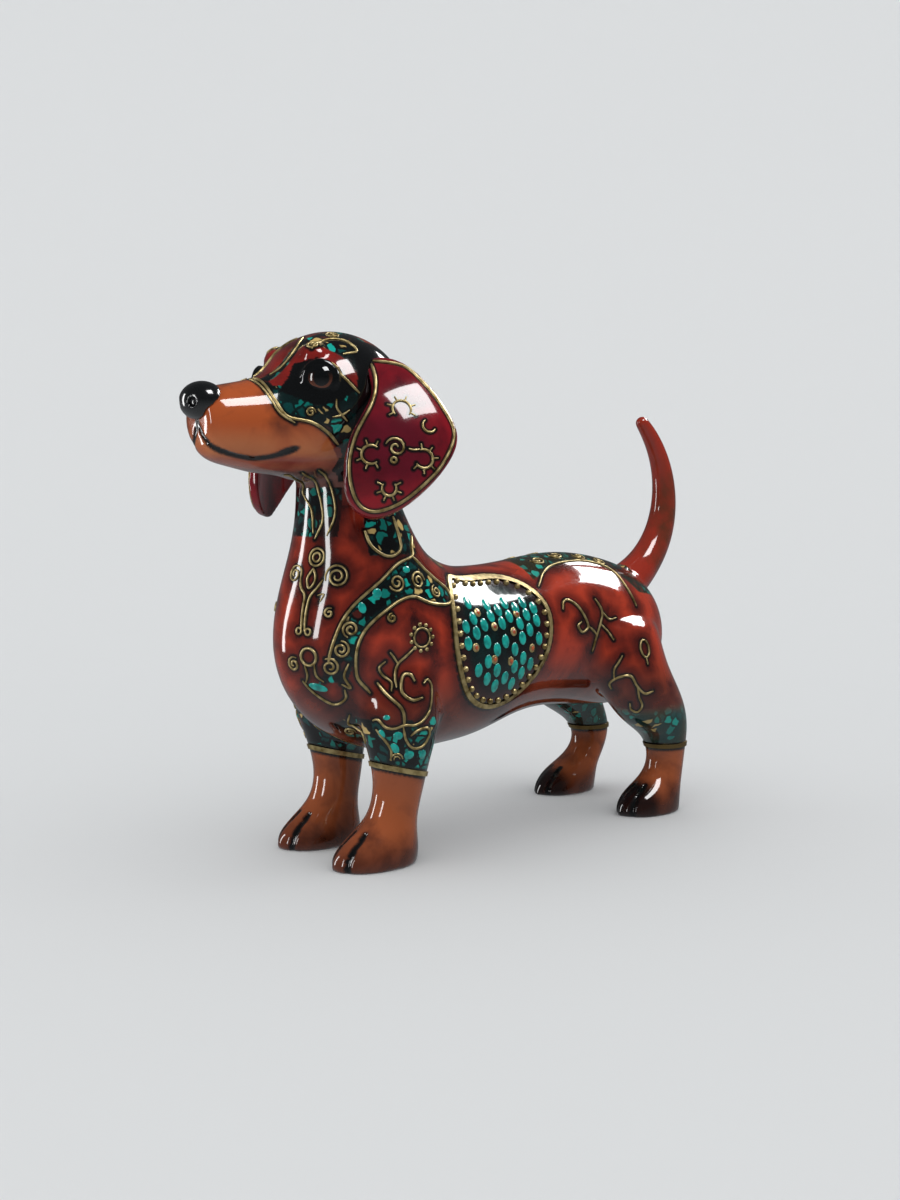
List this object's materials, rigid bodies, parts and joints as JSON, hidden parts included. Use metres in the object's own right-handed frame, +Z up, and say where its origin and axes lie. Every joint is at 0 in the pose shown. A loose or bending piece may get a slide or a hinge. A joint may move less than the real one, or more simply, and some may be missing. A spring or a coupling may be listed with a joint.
{
  "type": "ceramic dog figurine",
  "caption": "Standing dachshund figurine in glossy glazed ceramic with raised gold linework, for a shelf or table.",
  "frame": {"origin": "on the standing surface, under the middle of the figurine's box", "axes": "+Z up, +Y from nose to tail so the dog faces -Y, +X to the dog's left"},
  "size_m": [0.0868, 0.2296, 0.1777],
  "materials": {
    "body_glaze": "glossy painted glaze, red with teal and gold",
    "head_glaze": "glossy painted glaze, brown, teal and black",
    "ear_glaze": "glossy crimson glaze",
    "leg_glaze": "glossy orange-brown glaze",
    "tail_glaze": "glossy red-brown glaze",
    "eye_glaze": "high gloss black and amber glaze",
    "lid_glaze": "glossy dark red-brown glaze",
    "nose_glaze": "high gloss black glaze",
    "gold_line": "satin gold lustre line"
  },
  "bodies": {
    "root": {"body_shell": "body_glaze", "head_shell": "head_glaze", "left_ear": "ear_glaze", "left_eye": "eye_glaze", "left_eyelid": "lid_glaze", "left_flank_beads": "gold_line", "left_flank_rim": "gold_line", "left_fore_cuff": "gold_line", "left_foreleg": "leg_glaze", "left_hind_cuff": "gold_line", "left_hind_leg": "leg_glaze", "nose_pad": "nose_glaze", "right_ear": "ear_glaze", "right_eye": "eye_glaze", "right_eyelid": "lid_glaze", "right_flank_beads": "gold_line", "right_flank_rim": "gold_line", "right_fore_cuff": "gold_line", "right_foreleg": "leg_glaze", "right_hind_cuff": "gold_line", "right_hind_leg": "leg_glaze", "tail": "tail_glaze"}
  },
  "joints": []
}
